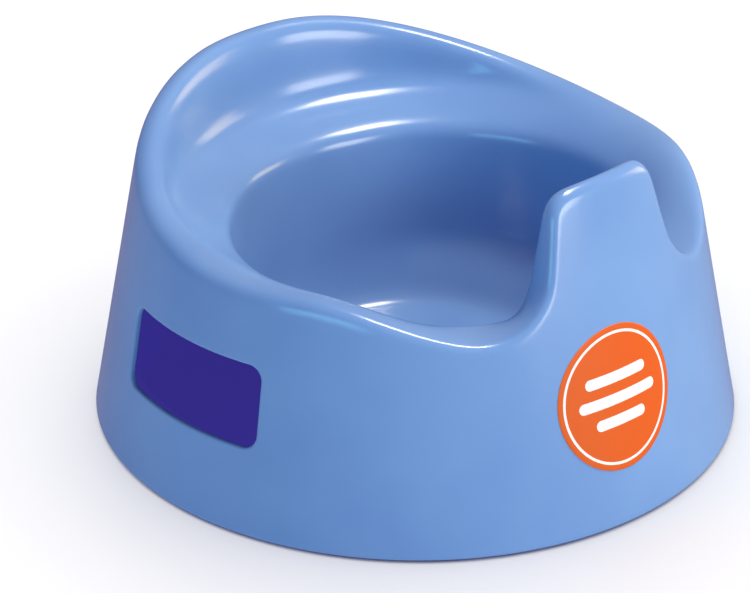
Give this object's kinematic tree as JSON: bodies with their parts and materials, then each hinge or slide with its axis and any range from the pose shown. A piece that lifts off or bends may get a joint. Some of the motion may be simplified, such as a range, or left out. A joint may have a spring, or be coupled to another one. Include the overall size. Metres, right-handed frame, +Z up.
{
  "type": "potty training chair",
  "caption": "One-piece moulded toddler potty with a raised backrest, front splash guard, leg dips, side hand windows, a round front sticker and push-in anti-slip feet.",
  "frame": {"origin": "middle of the base, on the floor", "axes": "+Z up, -Y to the front where the splash guard is, +X to the right seen from the front"},
  "size_m": [0.2994, 0.2992, 0.1484],
  "materials": {
    "shell_plastic": "gloss, light blue polypropylene",
    "sticker": "satin coated paper, orange with plain white bars",
    "foot_rubber": "matt soft rubber, pale grey"
  },
  "bodies": {
    "root": {"potty_shell": "shell_plastic", "front_label": "sticker", "foot_front_left": "foot_rubber", "foot_front_right": "foot_rubber", "foot_back_left": "foot_rubber", "foot_back_right": "foot_rubber"}
  },
  "joints": []
}
